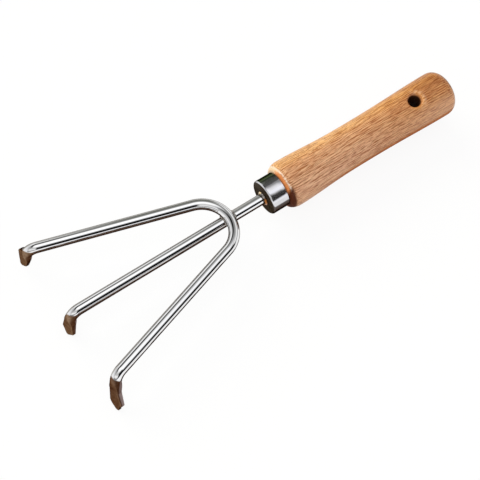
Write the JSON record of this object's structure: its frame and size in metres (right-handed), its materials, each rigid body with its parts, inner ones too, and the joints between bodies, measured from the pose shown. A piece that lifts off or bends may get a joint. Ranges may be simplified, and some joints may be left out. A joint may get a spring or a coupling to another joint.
{
  "type": "garden rake",
  "caption": "Short hand rake with round steel tines whose forged tips turn down, a polished ferrule and a turned wooden handle with a hanging hole.",
  "frame": {"origin": "middle of the base of the whole rake as it lies with its tips down", "axes": "+X along the handle from the tips to the butt, +Y to the left as seen by the user, +Z away from the tips"},
  "size_m": [0.33, 0.1338, 0.0429],
  "materials": {
    "wood": "turned beech, sanded, clear satin varnish",
    "ferrule_steel": "polished to a mirror",
    "tine_steel": "polished round rod, browned at the forged tips",
    "weld_metal": "weld bead, heat tinted and polished over"
  },
  "bodies": {
    "root": {"handle": "wood", "ferrule": "ferrule_steel", "centre_tine": "tine_steel", "outer_tines": "tine_steel", "crossing_weld": "weld_metal", "shank_weld": "weld_metal"}
  },
  "joints": []
}
